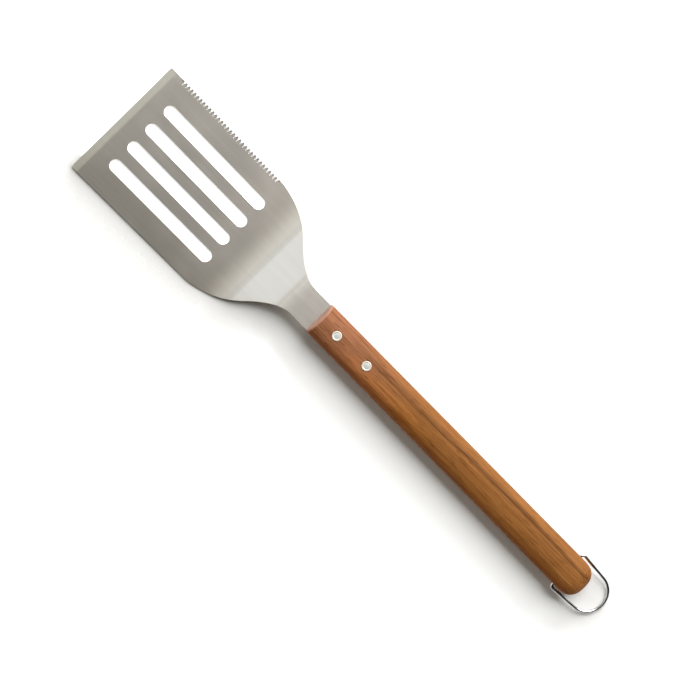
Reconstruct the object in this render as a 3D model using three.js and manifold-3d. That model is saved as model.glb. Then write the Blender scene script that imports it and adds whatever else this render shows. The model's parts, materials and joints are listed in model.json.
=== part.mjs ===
// A barbecue spatula: a slotted stainless blade with one serrated edge, its neck bent up to a
// straight hardwood handle, two two-piece rivets through the tang, and a wire loop that swings
// at the handle's end. Millimetres, +Z up, X along the tool from the blade's tip to the loop.

import * as THREE from 'three';
import { mergeVertices } from 'three/addons/utils/BufferGeometryUtils.js';
import Module from 'manifold-3d';

const wasm = await Module();
wasm.setup();

// Driving dimensions. Distances along the tool are measured from the blade's tip.

// The stainless sheet: blade, neck and tang in one piece
const SHEET_THICKNESS = 1.2;
const BLADE_WIDTH = 95.2;
const TIP_FLARE = 2.8;
const STRAIGHT_SIDE_LENGTH = 112;
const TIP_CORNER_RADIUS = 1.5;
const TIP_BEVEL_LENGTH = 5.6;
const TIP_EDGE_THICKNESS = 0.5;
const NECK_WIDTH = 24.2;

// The blade's shoulders run from the straight sides through the waist to the neck
const SHOULDER_START_DEGREES = 7;
const WAIST_FROM_TIP = 150.5;
const WAIST_WIDTH = 59.4;
const WAIST_DEGREES = 44.5;

// The two bends of the neck
const FIRST_BEND_FROM_TIP = 122.5;
const FIRST_BEND_RADIUS = 79.7;
const RAMP_DEGREES = 16.5;
const RAMP_LENGTH = 22.1;
const SECOND_BEND_RADIUS = 46.6;

// Slots through the blade
const SLOT_COUNT = 4;
const SLOT_PITCH = 17.8;
const SLOT_WIDTH = 9;
const SLOT_FROM_TIP = 17;
const SLOT_LENGTH = 97;

// Scallops ground into the top of one long edge
const SERRATION_FROM_TIP = 12.5;
const SERRATION_LENGTH = 97.5;
const SCALLOP_PITCH = 3;
const SCALLOP_WIDTH = 1.9;
const SCALLOP_DEPTH = 0.9;
const SCALLOP_DEGREES = 38;

// The hardwood handle
const NECK_LENGTH = 15.6;
const HANDLE_LENGTH = 261.2;
const HANDLE_FRONT_WIDTH = 25.6;
const HANDLE_REAR_WIDTH = 26.8;
const HANDLE_FRONT_THICKNESS = 20;
const HANDLE_REAR_THICKNESS = 21.5;
const HANDLE_SQUARENESS = 2.4;
const HANDLE_FRONT_RAKE_DEGREES = 14;
const HANDLE_FRONT_EASE = 1;
const HANDLE_END_ROUND = 13;
const HANDLE_END_FLAT_SHARE = 0.3;

// The rivets through handle and tang, each a tube with a ring head above and a pin from below
const RIVET_NAMES = ['front', 'rear'];
const FIRST_RIVET_FROM_FRONT = 18.2;
const RIVET_SPACING = 28.9;
const RIVET_HEAD_DIAMETER = 7.1;
const RIVET_HEAD_HEIGHT = 1.5;
const RIVET_HEAD_EASE = 0.3;
const RIVET_STANDS_PROUD = 0.2;
const RIVET_TUBE_DIAMETER = 5.2;
const RIVET_TUBE_WALL = 0.4;
const RIVET_PIN_RECESS = 0.1;
const TANG_PAST_LAST_RIVET = 13;

// The hanging loop of round wire
const WIRE_DIAMETER = 2.3;
const LOOP_PIVOT_FROM_END = 16.8;
const LOOP_SIDE_GAP = 1.2;
const LOOP_GAP_BEHIND_HANDLE = 19.3;
const LOOP_BEND_RADIUS = 2.4;
const LOOP_BOW_WIDTH = 30.8;
const LOOP_PIN_DEPTH = 7;

// Running gap between pieces that are fitted into each other
const FIT_GAP = 0.3;

// Fineness of the facets
const BEND_FACETS = 7;
const ROUND_FACETS = 24;
const SCALLOP_FACETS = 16;
const HANDLE_SECTION_FACETS = 44;
const HANDLE_END_RINGS = 8;
const WIRE_FACETS = 10;
const WIRE_STEP = 1.1;
const TILT_HALVINGS = 40;

const TIP_WIDTH = BLADE_WIDTH + TIP_FLARE;
const QUARTER_TURN = Math.PI / 2;
const FULL_TURN = Math.PI * 2;
const RAMP_ANGLE = THREE.MathUtils.degToRad(RAMP_DEGREES);
const SCALLOP_ANGLE = THREE.MathUtils.degToRad(SCALLOP_DEGREES);
const FRONT_RAKE = THREE.MathUtils.degToRad(HANDLE_FRONT_RAKE_DEGREES);

// Heights and stations that follow from the bends

const RAMP_ACROSS = new THREE.Vector2(Math.sin(RAMP_ANGLE), -Math.cos(RAMP_ANGLE));
const RAMP_ALONG = new THREE.Vector2(Math.cos(RAMP_ANGLE), Math.sin(RAMP_ANGLE));
const FIRST_BEND_OUTSIDE = FIRST_BEND_RADIUS + SHEET_THICKNESS;
const SECOND_BEND_OUTSIDE = SECOND_BEND_RADIUS + SHEET_THICKNESS;
const FIRST_BEND_CENTRE = new THREE.Vector2(FIRST_BEND_FROM_TIP, FIRST_BEND_OUTSIDE);
const RAMP_FOOT = RAMP_ACROSS.clone().multiplyScalar(FIRST_BEND_OUTSIDE).add(FIRST_BEND_CENTRE);
const RAMP_TOP = RAMP_ALONG.clone().multiplyScalar(RAMP_LENGTH).add(RAMP_FOOT);
const SECOND_BEND_CENTRE = RAMP_ACROSS.clone().multiplyScalar(SECOND_BEND_RADIUS).add(RAMP_TOP);
const NECK_START = SECOND_BEND_CENTRE.x;
const TANG_UNDERSIDE = SECOND_BEND_CENTRE.y + SECOND_BEND_RADIUS;
const TANG_MIDDLE = TANG_UNDERSIDE + SHEET_THICKNESS / 2;
const HANDLE_FRONT = NECK_START + NECK_LENGTH;
const HANDLE_END = HANDLE_FRONT + HANDLE_LENGTH;
const RIVET_STATIONS = RIVET_NAMES.map(
  (name, index) => HANDLE_FRONT + FIRST_RIVET_FROM_FRONT + index * RIVET_SPACING,
);
const TANG_END = Math.max(...RIVET_STATIONS) + TANG_PAST_LAST_RIVET;
const LOOP_PIVOT = HANDLE_END - LOOP_PIVOT_FROM_END;

// Closed geometry as a solid that can be cut, with its faces pointing out
function toSolid(geometry) {
  const bare = new THREE.BufferGeometry();
  bare.setAttribute('position', geometry.getAttribute('position'));
  bare.setIndex(geometry.getIndex());
  const merged = mergeVertices(bare);
  const vertProperties = new Float32Array(merged.getAttribute('position').array);
  const triVerts = new Uint32Array(merged.getIndex().array);
  return new wasm.Manifold(new wasm.Mesh({ numProp: 3, vertProperties, triVerts }));
}

// A cut solid back as geometry
function toGeometry(solid) {
  const { vertProperties, triVerts } = solid.getMesh();
  const geometry = new THREE.BufferGeometry();
  geometry.setAttribute('position', new THREE.BufferAttribute(vertProperties, 3));
  geometry.setIndex(new THREE.BufferAttribute(triVerts, 1));
  geometry.computeVertexNormals();
  return geometry;
}

function cutAway(geometry, cutters) {
  let solid = toSolid(geometry);
  cutters.forEach((cutter) => {
    solid = solid.subtract(toSolid(cutter));
  });
  return toGeometry(solid);
}

// A round bar between two heights on an upright axis
function uprightBar(radius, bottom, top, station) {
  const bar = new THREE.CylinderGeometry(radius, radius, top - bottom, ROUND_FACETS);
  bar.rotateX(QUARTER_TURN);
  bar.translate(station, 0, (top + bottom) / 2);
  return bar;
}

// A profile of radii and heights turned about an upright axis
function turned(profile, station) {
  const geometry = new THREE.LatheGeometry(profile, ROUND_FACETS);
  geometry.rotateX(QUARTER_TURN);
  geometry.translate(station, 0, 0);
  return geometry;
}

// Half the blade's width at a distance from the tip, along its straight sides
function bladeHalfWidth(station) {
  const share = station / STRAIGHT_SIDE_LENGTH;
  return THREE.MathUtils.lerp(TIP_WIDTH, BLADE_WIDTH, share) / 2;
}

// Where two lines in the plan meet, each given by a point and its fall in width per length
function meetingPoint(first, firstFall, second, secondFall) {
  const run = (first.y - second.y + secondFall * (first.x - second.x)) / (secondFall - firstFall);
  return new THREE.Vector2(first.x - run, first.y + firstFall * run);
}

// One side of the blade's outline from the straight side to the end of the tang
function shoulderCurves() {
  const start = new THREE.Vector2(STRAIGHT_SIDE_LENGTH, bladeHalfWidth(STRAIGHT_SIDE_LENGTH));
  const waist = new THREE.Vector2(WAIST_FROM_TIP, WAIST_WIDTH / 2);
  const neck = new THREE.Vector2(NECK_START, NECK_WIDTH / 2);
  const startFall = Math.tan(THREE.MathUtils.degToRad(SHOULDER_START_DEGREES));
  const waistFall = Math.tan(THREE.MathUtils.degToRad(WAIST_DEGREES));
  return {
    start,
    shoulder: meetingPoint(start, startFall, waist, waistFall),
    waist,
    throat: meetingPoint(waist, waistFall, neck, 0),
    neck,
  };
}

// The plan of the sheet: straight sides, shoulders, neck and tang, with the slots as holes
function sheetPlan() {
  const { start, shoulder, waist, throat, neck } = shoulderCurves();
  const tipHalf = TIP_WIDTH / 2;
  const plan = new THREE.Shape();
  plan.moveTo(TIP_CORNER_RADIUS, -tipHalf);
  plan.lineTo(start.x, -start.y);
  plan.quadraticCurveTo(shoulder.x, -shoulder.y, waist.x, -waist.y);
  plan.quadraticCurveTo(throat.x, -throat.y, neck.x, -neck.y);
  plan.lineTo(TANG_END, -neck.y);
  plan.lineTo(TANG_END, neck.y);
  plan.lineTo(neck.x, neck.y);
  plan.quadraticCurveTo(throat.x, throat.y, waist.x, waist.y);
  plan.quadraticCurveTo(shoulder.x, shoulder.y, start.x, start.y);
  plan.lineTo(TIP_CORNER_RADIUS, tipHalf);
  plan.quadraticCurveTo(0, tipHalf, 0, tipHalf - TIP_CORNER_RADIUS);
  plan.lineTo(0, TIP_CORNER_RADIUS - tipHalf);
  plan.quadraticCurveTo(0, -tipHalf, TIP_CORNER_RADIUS, -tipHalf);
  plan.holes = slotOutlines();
  return plan;
}

// Round-ended slots that fan out with the blade's sides
function slotOutlines() {
  const radius = SLOT_WIDTH / 2;
  const first = SLOT_FROM_TIP + radius;
  const last = SLOT_FROM_TIP + SLOT_LENGTH - radius;
  const outlines = [];
  for (let index = 0; index < SLOT_COUNT; index += 1) {
    const offset = (index - (SLOT_COUNT - 1) / 2) * SLOT_PITCH;
    const frontOffset = (offset * bladeHalfWidth(first)) / bladeHalfWidth(0);
    const rearOffset = (offset * bladeHalfWidth(last)) / bladeHalfWidth(0);
    const turn = Math.atan2(rearOffset - frontOffset, last - first);
    const outline = new THREE.Path();
    outline.absarc(first, frontOffset, radius, turn + QUARTER_TURN, turn + 3 * QUARTER_TURN);
    outline.absarc(last, rearOffset, radius, turn - QUARTER_TURN, turn + QUARTER_TURN);
    outline.closePath();
    outlines.push(outline);
  }
  return outlines;
}

// The sheet seen from the side: ground tip, flat blade, two bends and the tang
function sheetProfile() {
  const profile = new THREE.Shape();
  const first = FIRST_BEND_CENTRE;
  const second = SECOND_BEND_CENTRE;
  const rampStart = RAMP_ANGLE - QUARTER_TURN;
  const rampEnd = RAMP_ANGLE + QUARTER_TURN;
  profile.moveTo(0, 0);
  profile.lineTo(first.x, 0);
  profile.absarc(first.x, first.y, FIRST_BEND_OUTSIDE, -QUARTER_TURN, rampStart, false);
  profile.absarc(second.x, second.y, SECOND_BEND_RADIUS, rampEnd, QUARTER_TURN, true);
  profile.lineTo(TANG_END, TANG_UNDERSIDE);
  profile.lineTo(TANG_END, TANG_UNDERSIDE + SHEET_THICKNESS);
  profile.absarc(second.x, second.y, SECOND_BEND_OUTSIDE, QUARTER_TURN, rampEnd, false);
  profile.absarc(first.x, first.y, FIRST_BEND_RADIUS, rampStart, -QUARTER_TURN, true);
  profile.lineTo(TIP_BEVEL_LENGTH, SHEET_THICKNESS);
  profile.lineTo(0, TIP_EDGE_THICKNESS);
  profile.closePath();
  return profile;
}

// Slanted round cutters side by side along the edge, each leaving one scallop
function scallopCutters() {
  const half = SCALLOP_WIDTH / 2;
  const radius = (half ** 2 + SCALLOP_DEPTH ** 2) / (2 * SCALLOP_DEPTH);
  const length = 2 * (SHEET_THICKNESS / Math.sin(SCALLOP_ANGLE) + radius);
  const plunge = SCALLOP_DEPTH / Math.sin(SCALLOP_ANGLE);
  const count = Math.floor(SERRATION_LENGTH / SCALLOP_PITCH);
  const cutters = [];
  for (let index = 0; index < count; index += 1) {
    const station = SERRATION_FROM_TIP + (index + 1 / 2) * SCALLOP_PITCH;
    const edge = bladeHalfWidth(station) - plunge;
    const cutter = new THREE.CylinderGeometry(radius, radius, length, SCALLOP_FACETS);
    cutter.rotateX(-SCALLOP_ANGLE);
    cutter.translate(
      station,
      edge + radius * Math.sin(SCALLOP_ANGLE),
      radius * Math.cos(SCALLOP_ANGLE),
    );
    cutters.push(cutter);
  }
  return cutters;
}

function bladeGeometry() {
  const planDepth = TANG_UNDERSIDE + 2 * SHEET_THICKNESS;
  const options = { curveSegments: BEND_FACETS, bevelEnabled: false };
  const plan = new THREE.ExtrudeGeometry(sheetPlan(), { ...options, depth: planDepth });
  plan.translate(0, 0, -SHEET_THICKNESS / 2);
  const widest = Math.max(TIP_WIDTH, BLADE_WIDTH, NECK_WIDTH) + SHEET_THICKNESS;
  const profile = new THREE.ExtrudeGeometry(sheetProfile(), { ...options, depth: widest });
  profile.rotateX(QUARTER_TURN);
  profile.translate(0, widest / 2, 0);
  const sheet = toGeometry(toSolid(profile).intersect(toSolid(plan)));
  const holes = RIVET_STATIONS.map((station) => uprightBar(
    RIVET_TUBE_DIAMETER / 2 + FIT_GAP,
    TANG_UNDERSIDE - SHEET_THICKNESS,
    TANG_UNDERSIDE + 2 * SHEET_THICKNESS,
    station,
  ));
  return cutAway(sheet, [...holes, ...scallopCutters()]);
}

// Half width and half thickness of the handle where its sides are straight
function handleHalves(station) {
  const share = (station - HANDLE_FRONT) / HANDLE_LENGTH;
  return {
    wide: THREE.MathUtils.lerp(HANDLE_FRONT_WIDTH, HANDLE_REAR_WIDTH, share) / 2,
    thick: THREE.MathUtils.lerp(HANDLE_FRONT_THICKNESS, HANDLE_REAR_THICKNESS, share) / 2,
  };
}

// One section of the handle, an ellipse squared off at its corners, leaning by the rake
function handleSection(station, halfWide, halfThick, rake) {
  const section = [];
  const power = 2 / HANDLE_SQUARENESS;
  for (let index = 0; index < HANDLE_SECTION_FACETS; index += 1) {
    const angle = (FULL_TURN * index) / HANDLE_SECTION_FACETS;
    const across = Math.cos(angle);
    const up = Math.sin(angle);
    const y = halfWide * Math.sign(across) * Math.abs(across) ** power;
    const z = halfThick * Math.sign(up) * Math.abs(up) ** power;
    section.push(new THREE.Vector3(station + z * Math.tan(rake), y, TANG_MIDDLE + z));
  }
  return section;
}

// Sections joined into one closed skin, with both end sections filled
function loft(sections) {
  const sides = sections[0].length;
  const triangles = [];
  for (let row = 0; row < sections.length - 1; row += 1) {
    for (let side = 0; side < sides; side += 1) {
      const here = row * sides + side;
      const beside = row * sides + ((side + 1) % sides);
      triangles.push(here, beside, here + sides, beside, beside + sides, here + sides);
    }
  }
  const lastRow = (sections.length - 1) * sides;
  for (let side = 1; side < sides - 1; side += 1) {
    triangles.push(0, side + 1, side);
    triangles.push(lastRow, lastRow + side, lastRow + side + 1);
  }
  const geometry = new THREE.BufferGeometry().setFromPoints(sections.flat());
  geometry.setIndex(triangles);
  return geometry;
}

// The handle's outside: eased raked front, straight body, rounded rear end
function handleBody() {
  const front = handleHalves(HANDLE_FRONT);
  const ease = HANDLE_FRONT_EASE;
  const sections = [
    handleSection(HANDLE_FRONT, front.wide - ease, front.thick - ease, FRONT_RAKE),
    handleSection(HANDLE_FRONT + ease, front.wide, front.thick, FRONT_RAKE),
  ];
  const roundStart = HANDLE_END - HANDLE_END_ROUND;
  const rear = handleHalves(roundStart);
  const lastAngle = Math.acos(HANDLE_END_FLAT_SHARE);
  for (let ring = 0; ring <= HANDLE_END_RINGS; ring += 1) {
    const angle = (lastAngle * ring) / HANDLE_END_RINGS;
    const station = roundStart + (HANDLE_END_ROUND * Math.sin(angle)) / Math.sin(lastAngle);
    const shrink = Math.cos(angle);
    sections.push(handleSection(station, rear.wide * shrink, rear.thick * shrink, 0));
  }
  return loft(sections);
}

// The sawn slot that takes the tang, open at the front and at both sides
function tangSlot() {
  const reach = Math.max(HANDLE_FRONT_THICKNESS, HANDLE_REAR_THICKNESS);
  const start = HANDLE_FRONT - reach;
  const end = TANG_END + FIT_GAP;
  const width = 2 * Math.max(HANDLE_FRONT_WIDTH, HANDLE_REAR_WIDTH);
  const slot = new THREE.BoxGeometry(end - start, width, SHEET_THICKNESS + 2 * FIT_GAP);
  slot.translate((start + end) / 2, 0, TANG_MIDDLE);
  return slot;
}

// Heights on one rivet: the wood's faces, the head seats, the head tops and the pin's end
function rivetHeights(station) {
  const { thick } = handleHalves(station);
  const woodTop = TANG_MIDDLE + thick;
  const woodBottom = TANG_MIDDLE - thick;
  const headTop = woodTop + RIVET_STANDS_PROUD;
  const headBottom = woodBottom - RIVET_STANDS_PROUD;
  return {
    headTop,
    headBottom,
    upperShoulder: headTop - RIVET_HEAD_HEIGHT,
    lowerShoulder: headBottom + RIVET_HEAD_HEIGHT,
    pinEnd: headTop - RIVET_PIN_RECESS,
  };
}

// A stepped hole: one bore for the tube and a wider seat for each head
function rivetHoleCutters(station) {
  const heights = rivetHeights(station);
  const clear = HANDLE_FRONT_THICKNESS + HANDLE_REAR_THICKNESS;
  const seat = RIVET_HEAD_DIAMETER / 2 + FIT_GAP;
  const bore = RIVET_TUBE_DIAMETER / 2 + FIT_GAP;
  return [
    uprightBar(bore, TANG_MIDDLE - clear, TANG_MIDDLE + clear, station),
    uprightBar(seat, heights.upperShoulder - FIT_GAP, TANG_MIDDLE + clear, station),
    uprightBar(seat, TANG_MIDDLE - clear, heights.lowerShoulder + FIT_GAP, station),
  ];
}

// Holes in both sides of the handle for the ends of the loop
function loopHoleCutters() {
  const { wide } = handleHalves(LOOP_PIVOT);
  const depth = LOOP_PIN_DEPTH + FIT_GAP;
  const radius = WIRE_DIAMETER / 2 + FIT_GAP;
  return [-1, 1].map((side) => {
    const hole = new THREE.CylinderGeometry(radius, radius, 2 * depth, ROUND_FACETS);
    hole.translate(LOOP_PIVOT, side * wide, TANG_MIDDLE);
    return hole;
  });
}

function handleGeometry() {
  const cutters = [tangSlot(), ...RIVET_STATIONS.flatMap(rivetHoleCutters), ...loopHoleCutters()];
  return cutAway(handleBody(), cutters);
}

// The rivet's tube with its ring head on the handle's top
function rivetSleeveGeometry(station) {
  const heights = rivetHeights(station);
  const outside = RIVET_TUBE_DIAMETER / 2;
  const inside = outside - RIVET_TUBE_WALL;
  const head = RIVET_HEAD_DIAMETER / 2;
  const tubeEnd = heights.lowerShoulder + FIT_GAP;
  const profile = [
    [inside, tubeEnd],
    [outside, tubeEnd],
    [outside, heights.upperShoulder],
    [head, heights.upperShoulder],
    [head, heights.headTop - RIVET_HEAD_EASE],
    [head - RIVET_HEAD_EASE, heights.headTop],
    [inside, heights.headTop],
    [inside, tubeEnd],
  ];
  return turned(profile.map(([radius, height]) => new THREE.Vector2(radius, height)), station);
}

// The rivet's pin with its head on the handle's underside
function rivetPinGeometry(station) {
  const heights = rivetHeights(station);
  const shank = RIVET_TUBE_DIAMETER / 2 - RIVET_TUBE_WALL - FIT_GAP;
  const head = RIVET_HEAD_DIAMETER / 2;
  const profile = [
    [0, heights.headBottom],
    [head - RIVET_HEAD_EASE, heights.headBottom],
    [head, heights.headBottom + RIVET_HEAD_EASE],
    [head, heights.lowerShoulder],
    [shank, heights.lowerShoulder],
    [shank, heights.pinEnd],
    [0, heights.pinEnd],
  ];
  return turned(profile.map(([radius, height]) => new THREE.Vector2(radius, height)), station);
}

// Sizes of the loop's middle line about its pivot: legs, bow, reach, and the depth of its ends
function loopSizes() {
  const { wide } = handleHalves(LOOP_PIVOT);
  const wireRadius = WIRE_DIAMETER / 2;
  return {
    leg: wide + LOOP_SIDE_GAP + wireRadius,
    bow: LOOP_BOW_WIDTH / 2 - wireRadius,
    reach: LOOP_PIVOT_FROM_END + LOOP_GAP_BEHIND_HANDLE + wireRadius,
    pinEnd: wide - LOOP_PIN_DEPTH,
  };
}

// The wire's middle line: pin, tight bend, leg, round bow, and the same back, about the pivot.
// Each leg is the straight line that touches both the tight bend and the bow.
class LoopPath extends THREE.Curve {
  constructor() {
    super();
    const { leg, bow, reach, pinEnd } = loopSizes();
    const bend = LOOP_BEND_RADIUS;
    const bendSide = leg - bend;
    const bowCentre = reach - bow;
    const run = bowCentre - bend;
    const lean = Math.atan2(bendSide, run) - Math.asin((bow - bend) / Math.hypot(run, bendSide));
    const legTurn = QUARTER_TURN - lean;
    const outline = new THREE.Path();
    outline.moveTo(0, -pinEnd);
    outline.absarc(bend, -bendSide, bend, Math.PI, FULL_TURN - legTurn, false);
    outline.absarc(bowCentre, 0, bow, -legTurn, legTurn, false);
    outline.absarc(bend, bendSide, bend, legTurn, Math.PI, false);
    outline.lineTo(0, pinEnd);
    this.outline = outline;
  }

  getPoint(share, target = new THREE.Vector3()) {
    const point = this.outline.getPoint(share);
    return target.set(point.x, point.y, 0);
  }
}

function loopGeometry() {
  const path = new LoopPath();
  const section = new THREE.Shape().absarc(0, 0, WIRE_DIAMETER / 2, 0, FULL_TURN);
  return new THREE.ExtrudeGeometry(section, {
    curveSegments: WIRE_FACETS / 2,
    steps: Math.ceil(path.getLength() / WIRE_STEP),
    bevelEnabled: false,
    extrudePath: path,
  });
}

// Lowest height of a piece once the tool is tipped back by an angle
function lowestHeight(geometry, tilt) {
  const points = geometry.getAttribute('position');
  let lowest = Infinity;
  for (let index = 0; index < points.count; index += 1) {
    const height = points.getZ(index) * Math.cos(tilt) - points.getX(index) * Math.sin(tilt);
    lowest = Math.min(lowest, height);
  }
  return lowest;
}

// The tilt at which the blade's heel and the handle's end lie on the same surface
function restTilt(blade, handle) {
  let low = -QUARTER_TURN / 2;
  let high = QUARTER_TURN / 2;
  for (let step = 0; step < TILT_HALVINGS; step += 1) {
    const middle = (low + high) / 2;
    const handleHigher = lowestHeight(handle, middle) > lowestHeight(blade, middle);
    low = handleHigher ? middle : low;
    high = handleHigher ? high : middle;
  }
  return (low + high) / 2;
}

// How far the loop drops below the level until its bow lies on the surface
function loopDrop(tilt, floor) {
  const wireRadius = WIRE_DIAMETER / 2;
  const pivotHeight = TANG_MIDDLE * Math.cos(tilt) - LOOP_PIVOT * Math.sin(tilt) - floor;
  return Math.asin((pivotHeight - wireRadius) / loopSizes().reach);
}

function finish(color, roughness, metalness) {
  return new THREE.MeshStandardMaterial({ color, roughness, metalness });
}

function piece(name, geometry, material) {
  const mesh = new THREE.Mesh(geometry, material);
  mesh.name = name;
  return mesh;
}

const brushedSteel = finish(0xb4afa7, 0.36, 1);
const polishedSteel = finish(0xd6d6d2, 0.18, 1);
const rivetSteel = finish(0xe2ddd4, 0.25, 1);
const redBrownWood = finish(0xa0622f, 0.5, 0);

const blade = piece('blade', bladeGeometry(), brushedSteel);
const handle = piece('handle', handleGeometry(), redBrownWood);

const tool = new THREE.Group();
tool.add(blade, handle);
RIVET_STATIONS.forEach((station, index) => {
  const name = RIVET_NAMES[index];
  tool.add(piece(`rivet_${name}_sleeve`, rivetSleeveGeometry(station), rivetSteel));
  tool.add(piece(`rivet_${name}_pin`, rivetPinGeometry(station), rivetSteel));
});

const tilt = restTilt(blade.geometry, handle.geometry);
const floor = lowestHeight(blade.geometry, tilt);
const loop = piece('hanging_loop', loopGeometry(), polishedSteel);
loop.position.set(LOOP_PIVOT, 0, TANG_MIDDLE);
loop.rotation.y = loopDrop(tilt, floor) - tilt;
tool.add(loop);
tool.rotation.y = tilt;

// The part lies on its heel and its handle's end, centred over the origin
const part = new THREE.Group();
part.add(tool);
part.updateMatrixWorld(true);
const box = new THREE.Box3().setFromObject(part, true);
const middle = box.getCenter(new THREE.Vector3());
tool.position.set(-middle.x, -middle.y, -box.min.z);
part.updateMatrixWorld(true);

export default part;
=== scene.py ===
import json
import math

import bpy
import numpy as np
from mathutils import Matrix, Vector


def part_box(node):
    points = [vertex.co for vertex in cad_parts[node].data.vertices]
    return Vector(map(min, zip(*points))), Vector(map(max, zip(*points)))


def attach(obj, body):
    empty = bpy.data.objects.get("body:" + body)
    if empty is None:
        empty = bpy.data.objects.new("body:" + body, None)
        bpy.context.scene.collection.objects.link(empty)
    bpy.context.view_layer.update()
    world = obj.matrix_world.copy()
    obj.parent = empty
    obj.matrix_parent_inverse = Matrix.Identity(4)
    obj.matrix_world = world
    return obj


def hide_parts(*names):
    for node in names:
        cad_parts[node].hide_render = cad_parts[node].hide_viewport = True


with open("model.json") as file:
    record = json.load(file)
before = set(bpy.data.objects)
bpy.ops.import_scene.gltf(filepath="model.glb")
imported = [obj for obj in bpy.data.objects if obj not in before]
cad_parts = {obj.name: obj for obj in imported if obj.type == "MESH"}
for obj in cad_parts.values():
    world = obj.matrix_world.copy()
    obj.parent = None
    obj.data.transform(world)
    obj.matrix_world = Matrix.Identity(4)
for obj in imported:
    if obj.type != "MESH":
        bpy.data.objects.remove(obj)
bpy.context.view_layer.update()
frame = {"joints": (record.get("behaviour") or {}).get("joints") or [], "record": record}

# Lengths are millimetres in the tool's own axes: from the blade's tip along the tool, across
# towards the serrated edge, and up from the blade's underside. `placed` turns them into the frame.
MM = 0.001

# The steel sheet
SHEET = 1.2
TIP_HALF = 49.0
HEEL_HALF = 47.6
STRAIGHT_SIDE = 112.0
TIP_CORNER = 1.5
TIP_BEVEL = 5.6
TIP_EDGE = 0.5
BEVEL_EASE = 0.2
NECK_HALF = 12.1
SHOULDER_DEGREES = 7.0
WAIST_STATION = 150.5
WAIST_HALF = 29.7
WAIST_DEGREES = 44.5
EDGE_EASE = 0.15
EDGE_EASE_SHARE = 0.4
MITRE_LIMIT = 0.8

# The angle from which an edge of any piece is shaded as sharp
SHARP_ANGLE = math.radians(34.0)

# Its two bends, measured on the middle of the sheet
FIRST_BEND = 122.5
FIRST_RADIUS = 79.7 + SHEET / 2
RAMP_ANGLE = math.radians(16.5)
RAMP_LENGTH = 22.1
SECOND_RADIUS = 46.6 + SHEET / 2

# Slots and scallops
SLOT_OFFSETS = 17.8 * np.array([-1.5, -0.5, 0.5, 1.5])
SLOT_RADIUS = 4.5
SLOT_FIRST = 17.0 + SLOT_RADIUS
SLOT_LAST = 114.0 - SLOT_RADIUS
SERRATION_START = 12.5
SCALLOP_COUNT = 32
SCALLOP_PITCH = 3.0
SCALLOP_WIDTH = 1.9
SCALLOP_DEPTH = 0.9
SCALLOP_ANGLE = math.radians(38.0)
SCALLOP_LAND = 0.12
SCALLOP_STRIP = 0.25
NECK_LINES = NECK_HALF * np.array([-0.72, -0.45, 0.45, 0.72])

# The handle
NECK_LENGTH = 15.6
HANDLE_LENGTH = 261.2
HANDLE_HALF_WIDTHS = (12.8, 13.4)
HANDLE_HALF_THICKNESSES = (10.0, 10.75)
HANDLE_SQUARENESS = 2.4
HANDLE_RAKE = math.radians(14.0)
HANDLE_EASE = 1.0
HANDLE_FACE_DRAW = (8.4, 6.0, 3.0, 0.8)
HANDLE_END_ROUND = 13.0
HANDLE_END_POWER = 2.6
SAW_SLOT = SHEET + 0.16
SAW_REACH = 20.0
CUT_PAST = 3.0

# Rivets
RIVET_STATIONS = (18.2, 47.1)
HEAD_RADIUS = 3.55
HEAD_HEIGHT = 1.5
HEAD_EASE = 0.3
HEAD_PROUD = 0.2
HEAD_DOME = 0.07
TUBE_RADIUS = 2.6
TUBE_BORE = 2.2
RING_MOUTH = TUBE_BORE - 0.15
RING_MOUTH_DEPTH = 1.0
RING_LIP = 0.12
PIN_RADIUS = 1.9
PIN_FLARE = 2.1
PIN_FLARE_DEPTH = 1.2
PIN_EASE = 0.15
PIN_DOME = 0.1
PIN_RECESS = 0.1
PIN_CORE = 0.05
TANG_PAST_RIVET = 13.0

# The hanging loop
WIRE_RADIUS = 1.15
LOOP_PIVOT_FROM_END = 16.8
LOOP_SIDE_GAP = 1.2
LOOP_GAP_BEHIND = 19.3
LOOP_BEND = 2.4
LOOP_BOW = 15.4 - WIRE_RADIUS
LOOP_PIN_DEPTH = 7.0
FIT_GAP = 0.3

# Painted light and shade on the blade, as stations from the tip: a painted highlight where the first
# bend begins, with the lengths over which that fades in and out, and painted shade lines at the two
# folds
BEND_HIGHLIGHT = (112.0, 132.0)
BEND_HIGHLIGHT_FADES = (40.0, 12.0)
FIRST_FOLD_SHADE = (141.5, 143.6)
FIRST_FOLD_SHADE_FADES = (3.0, 1.2)
SECOND_FOLD_SHADE = (169.0, 170.2)
SECOND_FOLD_SHADE_FADES = (1.4, 1.4)

# Across the blade: the side with a painted sheen, the plain side darkened as painted shade, and on the
# serrated edge how far in from the side and down from the top its lands and hollows begin, which get
# painted shade, and how far past it the row ends
SHEEN_SIDE = (2.0, 40.0)
PLAIN_SIDE = (-12.0, -46.0)
TOOTH_TIP_SHARES = (0.2, 0.27)
TOOTH_LAND = (1.7, 1.3)
HOLLOW_REACH = (3.6, 3.4)
HOLLOW_DROP = (0.2, 0.08)
ROW_PAST = (0.7, 0.6)

# The wood's figure, from the handle's front, its middle and its axis, with the places of painted shade
# on its side away from the lamp and of painted light on its front
PITH_SIDE = 16.0
PITH_DEPTH = 46.0
RING_WIDTH = 2.6
RING_WANDER = 9.0
GRAIN_SLANT = 5.5
GRAIN_SLANT_END = 110.0
VEIN_SIDES = (4.4, 6.8)
VEIN_START = (18.0, 60.0)
RED_FRONT = (10.0, 105.0)
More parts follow.
